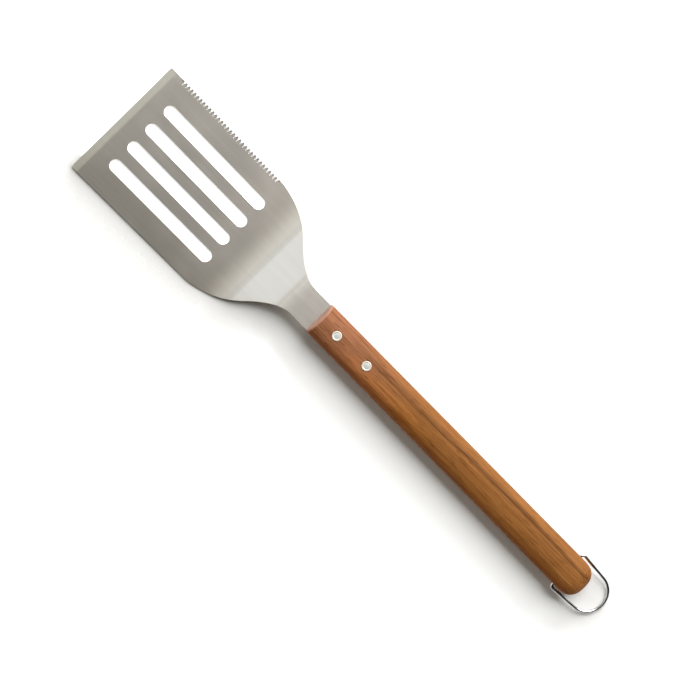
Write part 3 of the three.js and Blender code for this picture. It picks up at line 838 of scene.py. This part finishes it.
def set_steel(tree, shader, dark, light, roughness, patch_size, lines_per_mm, line_length, bump):
    """Ground steel: colour between two greys by its lines, rougher where it has been handled.
    Gives its colour and roughness."""
    lines, belt = grouped(tree, SATIN, lines_per_mm, line_length)
    patches, specks = grouped(tree, HANDLING, patch_size)
    share = plus(tree, times(tree, lines, 0.6), times(tree, belt, 0.4))
    colour = blended(tree, ranged(tree, share, 0.3, 0.7), (*dark, 1), (*light, 1))
    rough = ranged(tree, lines, 0.3, 0.7, roughness[0], roughness[1])
    rough = plus(tree, rough, times(tree, patches, 0.015))
    rough = plus(tree, rough, times(tree, specks, 0.04))
    shader.inputs["Metallic"].default_value = 1.0
    bumped(tree, shader, lines, bump, 0.15)
    return colour, rough


def ground_teeth(tree, split):
    """Shares on the serrated edge, beyond lines that run with the flaring side: one on the narrow land
    that each tooth keeps at its tip, near a whole number of scallops along the edge, and one on the
    hollows, which lie lower than the sheet's top. Both carry painted shade."""
    phase = calc(tree, "DIVIDE", calc(tree, "SUBTRACT", split[0], SERRATION_START), SCALLOP_PITCH)
    away = calc(tree, "ABSOLUTE", calc(tree, "SUBTRACT", phase, calc(tree, "ROUND", phase)))
    tip = ranged(tree, away, *TOOTH_TIP_SHARES, 1.0, 0.0)
    flare = (TIP_HALF - HEEL_HALF) / STRAIGHT_SIDE
    edge = plus(tree, split[1], times(tree, split[0], flare))
    near = ranged(tree, edge, TIP_HALF - TOOTH_LAND[0], TIP_HALF - TOOTH_LAND[1])
    hollow = ranged(tree, edge, TIP_HALF - HOLLOW_REACH[0], TIP_HALF - HOLLOW_REACH[1])
    low = ranged(tree, split[2], SHEET - HOLLOW_DROP[0], SHEET - HOLLOW_DROP[1], 1.0, 0.0)
    row = ranged(tree, split[0], SERRATION_START - ROW_PAST[0], SERRATION_START - ROW_PAST[1])
    last = SERRATION_START + SCALLOP_COUNT * SCALLOP_PITCH
    ended = ranged(tree, split[0], last + ROW_PAST[1], last + ROW_PAST[0], 1.0, 0.0)
    row = times(tree, row, ended)
    tips = times(tree, times(tree, tip, near), row)
    return tips, times(tree, times(tree, hollow, low), row)


def between(tree, value, places, fades):
    """One between two places, fading in before the first and out after the second."""
    begun = ranged(tree, value, places[0] - fades[0], places[0], smooth=True)
    ended = ranged(tree, value, places[1], places[1] + fades[1], 1.0, 0.0, smooth=True)
    return times(tree, begun, ended)


def tinted(tree, share, colour, tint):
    """A colour multiplied by a tint where a share says so."""
    return blended(tree, share, colour, (*tint, 1), "MULTIPLY")


def blade_steel():
    """Satin stainless sheet with fine lines along the tool, with painted light and shade: a painted
    highlight where the first bend begins, lighter still as a painted sheen on the lamp's side, a
    painted shade line at each of the folds, painted shade towards the plain edge, duller on the neck,
    and painted shade on the ground hollows and at the points of the teeth."""
    material, tree, shader = new_material("blade steel")
    dark, light = (0.68, 0.634, 0.58), (0.766, 0.714, 0.653)
    colour, rough = set_steel(tree, shader, dark, light, (0.32, 0.40), 28.0, 5.0, 40.0, 0.00002)
    split = add(tree, "SeparateXYZ", {0: tool_place(tree)}).outputs
    reach = calc(tree, "DIVIDE", split[0], TIP_BEVEL)
    ground = ranged(tree, reach, 1 - BEVEL_EASE, 1 + BEVEL_EASE, 1.0, 0.0)
    colour = tinted(tree, ground, colour, (0.94, 0.94, 0.91))
    # painted highlight: lighter colour where the blade begins to bend
    bend_highlight = between(tree, split[0], BEND_HIGHLIGHT, BEND_HIGHLIGHT_FADES)
    colour = tinted(tree, bend_highlight, colour, (1.11, 1.10, 1.09))
    # painted sheen: lighter still on the lamp's side of the bend highlight
    side_sheen = times(tree, bend_highlight, ranged(tree, split[1], *SHEEN_SIDE))
    colour = tinted(tree, side_sheen, colour, (1.07, 1.07, 1.07))
    # painted shade: a darker line along each of the folds
    first_fold_shade = between(tree, split[0], FIRST_FOLD_SHADE, FIRST_FOLD_SHADE_FADES)
    second_fold_shade = between(tree, split[0], SECOND_FOLD_SHADE, SECOND_FOLD_SHADE_FADES)
    fold_shade = calc(tree, "MAXIMUM", first_fold_shade, second_fold_shade)
    colour = tinted(tree, fold_shade, colour, (0.91, 0.91, 0.90))
    # painted shade: darker towards the plain edge, the side away from the lamp
    plain_side_shade = ranged(tree, split[1], *PLAIN_SIDE, smooth=True)
    colour = tinted(tree, plain_side_shade, colour, (0.84, 0.83, 0.81))
    # painted shade: darker ground hollows and darker points on the teeth
    tips, hollows = ground_teeth(tree, split)
    colour = tinted(tree, hollows, colour, (0.58, 0.60, 0.62))
    colour = tinted(tree, tips, colour, (0.52, 0.52, 0.52))
    neck = ranged(tree, split[0], SECOND_BEND - 2.0, SECOND_BEND + 2.0)
    rough = plus(tree, rough, times(tree, neck, 0.073))
    coated(tree, shader, colour, rough)
    return material


def rivet_steel(name, dark, light):
    """Pale plated rivets, ground nearly flush, with short fine scratches."""
    material, tree, shader = new_material(name)
    colour, rough = set_steel(tree, shader, dark, light, (0.36, 0.46), 3.0, 9.0, 3.0, 0.00001)
    shader.inputs["Metallic"].default_value = 0.3
    coated(tree, shader, colour, rough)
    return material


def loop_wire():
    """Bright drawn wire, nearly a mirror, with faint drawing lines."""
    material, tree, shader = new_material("loop wire")
    dark, light = (0.55, 0.555, 0.555), (0.66, 0.665, 0.665)
    colour, rough = set_steel(tree, shader, dark, light, (0.15, 0.21), 6.0, 12.0, 12.0, 0.000004)
    coated(tree, shader, colour, rough)
    return material


def wood_veins(tree, split, wander):
    """Shares of a broad dark vein along the handle's top, wandering off its middle from behind the
    front, and of a thin darker line in it."""
    middle = ranged(tree, wander, 0.3, 0.7, *VEIN_SIDES)
    away = calc(tree, "SUBTRACT", split[1], middle)
    broad = calc(tree, "ABSOLUTE", away)
    broad = ranged(tree, broad, 0.6, 3.0, 1.0, 0.0, smooth=True)
    thin = calc(tree, "ABSOLUTE", plus(tree, away, 0.5))
    thin = ranged(tree, thin, 0.2, 0.9, 1.0, 0.0, smooth=True)
    begun = ranged(tree, split[0], *VEIN_START, smooth=True)
    top = ranged(tree, split[2], 2.0, 6.0)
    begun = times(tree, begun, top)
    return times(tree, broad, begun), times(tree, thin, begun)


def wood_rings(tree, place, split, wander):
    """Share of dark late wood: rings about a pith beside and below the handle, slanting at the
    front, each darkening slowly and ending sharply, and weaker in places."""
    slant = ranged(tree, split[0], 0.0, GRAIN_SLANT_END, GRAIN_SLANT, 0.0, smooth=True)
    across = calc(tree, "SUBTRACT", plus(tree, split[1], slant), PITH_SIDE)
    deep = plus(tree, split[2], PITH_DEPTH)
    squares = plus(tree, calc(tree, "POWER", across, 2.0), calc(tree, "POWER", deep, 2.0))
    radius = calc(tree, "SQRT", squares)
    radius = plus(tree, radius, times(tree, wander, RING_WANDER))
    ring = calc(tree, "FRACT", calc(tree, "DIVIDE", radius, RING_WIDTH))
    late = grey_ramp(tree, ring, (0.0, 0.1), (0.45, 0.3), (0.82, 1.0), (0.96, 0.25), (1.0, 0.1))
    strength = noise(tree, stretched(tree, place, (0.02, 0.16, 0.16)), 1.0, detail=2.0)
    return times(tree, late, ranged(tree, strength, 0.35, 0.65, 0.15, 1.0))


def wood_sides(tree, split, colour):
    """A wood colour made yellower and darker towards the plain edge's side, as painted shade on the
    side away from the lamp, with a warm patch behind the rivets."""
    # painted shade on the side away from the lamp
    shade_yellowing = ranged(tree, split[1], *SHADE_YELLOWING_SIDE, smooth=True)
    colour = tinted(tree, shade_yellowing, colour, (1.0, 0.9, 0.68))
    dark = ranged(tree, split[1], *SHADE_DARKENING_SIDE)
    colour = tinted(tree, dark, colour, (0.93, 0.78, 0.5))
    warm = between(tree, split[0], WARM_PATCH, WARM_PATCH_FADES)
    warm = times(tree, warm, between(tree, split[1], WARM_SIDES, WARM_SIDES_FADES))
    return tinted(tree, warm, colour, (1.28, 1.22, 1.08))


def wood_front(tree, split, colour):
    """A wood colour with paler sawn end grain on the raked front, lightened further as painted light
    where that face meets the light, and a painted highlight on the eased rim round it.
    """
    rake = times(tree, split[2], math.tan(HANDLE_RAKE))
    behind = calc(tree, "SUBTRACT", split[0], rake)
    # partly the end grain's paler colour, partly painted light where the front meets the light
    sawn = ranged(tree, behind, *SAWN_FACE, 1.0, 0.0)
    colour = blended(tree, sawn, colour, (0.49, 0.28, 0.21, 1))
    # painted highlight along the eased rim of the front
    rim = times(tree, between(tree, behind, RIM_HIGHLIGHT, RIM_HIGHLIGHT_FADES), 0.6)
    return blended(tree, rim, colour, (0.62, 0.33, 0.25, 1))


def handle_wood():
    """Oiled red-brown hardwood: rings cut into long streaks, one dark vein, fine fibres, dark pores
    and a few pale lines along it, redder at the front and yellower at the rear, with paler sawn end
    grain on the front that is partly painted light, a painted highlight on the front's rim, and
    painted shade on the side away from the lamp."""
    material, tree, shader = new_material("handle wood")
    place = tool_place(tree, (HANDLE_FRONT, 0, AXIS_HEIGHT))
    split = add(tree, "SeparateXYZ", {0: place}).outputs
    wander = noise(tree, stretched(tree, place, (0.012, 0.07, 0.07)), 1.0, detail=3.0)
    late = wood_rings(tree, place, split, wander)
    vein, line = wood_veins(tree, split, wander)
    fibre = noise(tree, stretched(tree, place, (0.05, 1.4, 1.4)), 1.0, detail=4.0, roughness=0.68)
    streak = noise(tree, stretched(tree, place, (0.014, 0.5, 0.5)), 1.0, detail=3.0)
    pore = noise(tree, stretched(tree, place, (0.10, 1.5, 1.5)), 1.0, detail=2.0)
    pore = ranged(tree, pore, 0.58, 0.68)
    pale = noise(tree, stretched(tree, place, (0.018, 1.1, 1.1)), 1.0, detail=1.0)
    pale_share = ranged(tree, split[0], 60.0, 200.0, 0.1, 0.4)
    pale = times(tree, ranged(tree, pale, 0.64, 0.70), pale_share)

    rear = ranged(tree, split[0], *RED_FRONT, smooth=True)
    light = blended(tree, rear, (0.41, 0.17, 0.085, 1), (0.368, 0.148, 0.04, 1))
    dark = blended(tree, rear, (0.20, 0.068, 0.024, 1), (0.19, 0.065, 0.012, 1))
    streaks = ranged(tree, streak, 0.3, 0.7, -0.08, 0.52)
    share = plus(tree, times(tree, late, 0.35), streaks)
    share = plus(tree, share, ranged(tree, fibre, 0.3, 0.7, -0.4, 0.4), clamp=True)
    colour = blended(tree, share, light, dark)
    colour = tinted(tree, vein, colour, (0.74, 0.72, 0.70))
    colour = tinted(tree, line, colour, (0.72, 0.70, 0.68))
    colour = wood_sides(tree, split, colour)
    colour = blended(tree, times(tree, pore, 0.6), colour, (0.10, 0.032, 0.007, 1))
    colour = blended(tree, pale, colour, (0.50, 0.24, 0.075, 1))
    colour = wood_front(tree, split, colour)

    patches = grouped(tree, HANDLING, 40.0)[0]
    rough = ranged(tree, fibre, 0.3, 0.7, 0.50, 0.64)
    rough = calc(tree, "SUBTRACT", rough, times(tree, patches, 0.05))
    rough = plus(tree, rough, times(tree, pore, 0.2))
    coated(tree, shader, colour, rough)
    shader.inputs["Specular IOR Level"].default_value = 0.09
    height = calc(tree, "SUBTRACT", times(tree, fibre, 0.5), pore)
    bumped(tree, shader, height, 0.00008, 0.35)
    return material


# Stage

FLOOR_SIZE = 16.0
SHADE_REACH = 0.03
SHADE_RISE = math.radians(25.0)
# Painted light: how much the floor in the slots glows where it is seen
SLOT_PAINTED_LIGHT = 0.5

# Places on the floor, in the frame's metres, as the two ends of each change
SLOTS_END = (-0.122, -0.118)
SLOTS_SIDE = (0.034, 0.04)
NECK_END = (-0.075, -0.02)
LOOP_START = (0.208, 0.23)
LAMP_SIDE = (-0.002, 0.01)

# The studio's screen and backdrop, as directions, and its lamp
SCREEN_EDGES = (-0.214, -0.714)
SCREEN_POWER = 1.62
BACKDROP_FOOT = 0.06
BACKDROP_TOPS = (0.2, 0.42)
STUDIO_POWERS = (0.56, 1.0)
LAMP_DIRECTION = (0.0, 0.737, 0.675)
LAMP_DISTANCE = 4.0
LAMP_SIZE = 3.85
LAMP_POWER = 252.0

CAMERA_HEIGHT = 1.35
VIEW_WIDTH = 0.4868
CAMERA_OVER = (-0.0117, -0.0003)
CAMERA_TURN = 45.5
SENSOR = 36.0


def add_camera():
    """Straight above the tool, turned so that the tool runs from upper left to lower right."""
    data = bpy.data.cameras.new("camera")
    data.sensor_width = SENSOR
    data.lens = SENSOR * CAMERA_HEIGHT / VIEW_WIDTH
    camera = bpy.data.objects.new("camera", data)
    camera.location = (*CAMERA_OVER, CAMERA_HEIGHT)
    camera.rotation_euler = (0, 0, math.radians(CAMERA_TURN))
    bpy.context.scene.collection.objects.link(camera)
    bpy.context.scene.camera = camera


def seen_rays(tree):
    """One for rays that show the stage itself: to the camera, in metal and through glass."""
    path = add(tree, "LightPath").outputs
    seen = plus(tree, path["Is Camera Ray"], path["Is Glossy Ray"], clamp=True)
    return plus(tree, seen, path["Is Transmission Ray"], clamp=True)


def slot_area(tree, split):
    """One on the floor that shows through the slots, fading past their rear ends and their sides."""
    before = ranged(tree, split[0], *SLOTS_END, 1.0, 0.0)
    within = ranged(tree, calc(tree, "ABSOLUTE", split[1]), *SLOTS_SIDE, 1.0, 0.0)
    return times(tree, before, within)


def soft_shade(tree, split, slots):
    """Share of soft shade on the floor, from how much of the low directions towards the lamp's
    side meets the tool close by. It is full beside the blade and the neck, less round the loop,
    weak beside the handle, and absent in the slots and on the lamp's side."""
    low_side = add(tree, "CombineXYZ", {0: 0.0, 1: math.cos(SHADE_RISE), 2: math.sin(SHADE_RISE)})
    inputs = {"Distance": SHADE_REACH, "Normal": low_side.outputs[0]}
    open_share = add(tree, "AmbientOcclusion", inputs, samples=16).outputs["AO"]
    met = calc(tree, "SUBTRACT", 1.0, open_share)
    shade = grey_ramp(tree, met, (0.0, 0.0), (0.02, 0.14), (0.05, 0.235), (0.1, 0.28), (0.6, 0.34))
    front = ranged(tree, split[0], *NECK_END, 1.0, 0.12, smooth=True)
    rear = ranged(tree, split[0], *LOOP_START, 0.0, 0.6, smooth=True)
    weight = plus(tree, front, rear)
    outside = calc(tree, "SUBTRACT", 1.0, slots)
    outside = times(tree, outside, ranged(tree, split[1], *LAMP_SIDE, 1.0, 0.0))
    return times(tree, shade, times(tree, weight, outside))


def add_floor():
    """A wide white floor whose shadow stays, paler where it is seen than where it lights, darkened by
    a painted soft shade beside the tool, and with painted light in the slots, where it glows where it
    is seen so that the sheet's thin shadow there is faint."""
    half = FLOOR_SIZE / 2
    corners = np.array([[-half, -half, 0], [half, -half, 0], [half, half, 0], [-half, half, 0]])
    floor = mesh_object("floor", corners, [[0, 1, 2, 3]])
    material, tree, shader = new_material("floor white")
    split = add(tree, "SeparateXYZ", {0: add(tree, "TexCoord").outputs["Object"]}).outputs
    slots = slot_area(tree, split)
    shade = soft_shade(tree, split, slots)
    shaded = blended(tree, shade, (1.16, 1.16, 1.16, 1), (0.1, 0.06, 0.0, 1))
    seen = seen_rays(tree)
    colour = blended(tree, seen, (0.9, 0.9, 0.9, 1), shaded)
    tree.links.new(colour, shader.inputs["Base Color"])
    # painted light: the floor in the slots glows for seen rays, fading its thin shadow
    pale = times(tree, times(tree, slots, seen), SLOT_PAINTED_LIGHT)
    shader.inputs["Emission Color"].default_value = (1, 1, 1, 1)
    tree.links.new(pale, shader.inputs["Emission Strength"])
    shader.inputs["Roughness"].default_value = 1.0
    shader.inputs["Specular IOR Level"].default_value = 0.0
    floor.data.materials.append(material)


def add_world():
    """A studio as the metal shows it: a white backdrop round the floor, a screen beyond the blade's
    tip that brightens from a warm edge to a cool white, and a dark ceiling. Its light on what
    scatters is dimmer, so that the lamp shapes the shadows, and the camera sees it white."""
    world = bpy.data.worlds.new("studio")
    bpy.context.scene.world = world
    world.use_nodes = True
    tree = world.node_tree
    direction = add(tree, "TexCoord").outputs["Generated"]
    split = add(tree, "SeparateXYZ", {0: direction}).outputs
    reach = ranged(tree, split[0], *SCREEN_EDGES)
    stops = [(0.0, (0.0, 0.0, 0.0)), (0.2, (0.177, 0.168, 0.121))]
    stops += [(0.5, (0.415, 0.424, 0.38)), (1.0, (0.83, 0.905, 1.0))]
    screen = tinted(tree, 1.0, ramp(tree, reach, stops), (SCREEN_POWER,) * 3)
    path = add(tree, "LightPath").outputs
    top = ranged(tree, path["Is Glossy Ray"], 0.0, 1.0, *BACKDROP_TOPS)
    backdrop = ranged(tree, split[2], BACKDROP_FOOT, top, 1.0, 0.0, smooth=True)
    walls = blended(tree, 1.0, screen, backdrop, "LIGHTEN")
    seen = seen_rays(tree)
    warmth = blended(tree, seen, (1.05, 1.0, 0.88, 1), (1, 1, 1, 1))
    walls = blended(tree, 1.0, walls, warmth, "MULTIPLY")
    colour = blended(tree, path["Is Camera Ray"], walls, (1, 1, 1, 1))
    tree.links.new(colour, tree.nodes["Background"].inputs["Color"])
    strength = ranged(tree, seen, 0.0, 1.0, *STUDIO_POWERS)
    tree.links.new(strength, tree.nodes["Background"].inputs["Strength"])


def add_lamp():
    """A square soft lamp on the serrated edge's side, aimed at the tool's middle."""
    data = bpy.data.lights.new("key", "AREA")
    data.size = LAMP_SIZE
    data.energy = LAMP_POWER
    lamp = bpy.data.objects.new("key", data)
    direction = Vector(LAMP_DIRECTION)
    lamp.location = direction.normalized() * LAMP_DISTANCE
    lamp.rotation_euler = direction.to_track_quat("Z", "Y").to_euler()
    bpy.context.scene.collection.objects.link(lamp)


def main():
    """Stage first, then each piece in place of its solid."""
    bpy.context.scene.view_settings.view_transform = "Standard"
    add_camera()
    add_floor()
    add_world()
    add_lamp()

    points, faces = blade_mesh()
    blade = mesh_object("slotted_blade", placed(points), faces)
    finished(blade, blade_steel(), "blade")

    points, faces = handle_skin()
    handle = mesh_object("wood_handle", placed(points), faces)
    stations = [HANDLE_FRONT + station for station in RIVET_STATIONS]
    holes = [rivet_hole(station) for station in stations]
    cut_away(handle, [saw_slot(), *holes, loop_hole(-1), loop_hole(1)])
    finished(handle, handle_wood(), "handle")

    ring_steel = rivet_steel("rivet ring steel", (0.86, 0.755, 0.635), (0.94, 0.84, 0.72))
    pin_steel = rivet_steel("rivet pin steel", (0.66, 0.68, 0.655), (0.76, 0.78, 0.755))
    halves = (("sleeve", sleeve_rings, ring_steel), ("pin", pin_rings, pin_steel))
    for name, station in zip(("front", "rear"), stations):
        for part, maker, steel in halves:
            points, faces = maker(station)
            rivet = mesh_object(f"{name}_rivet_{part}", placed(points), faces)
            finished(rivet, steel, f"rivet_{name}_{part}")

    points, faces = loop_mesh()
    loop = mesh_object("wire_loop", points, faces)
    finished(loop, loop_wire(), "hanging_loop", body="loop")


main()
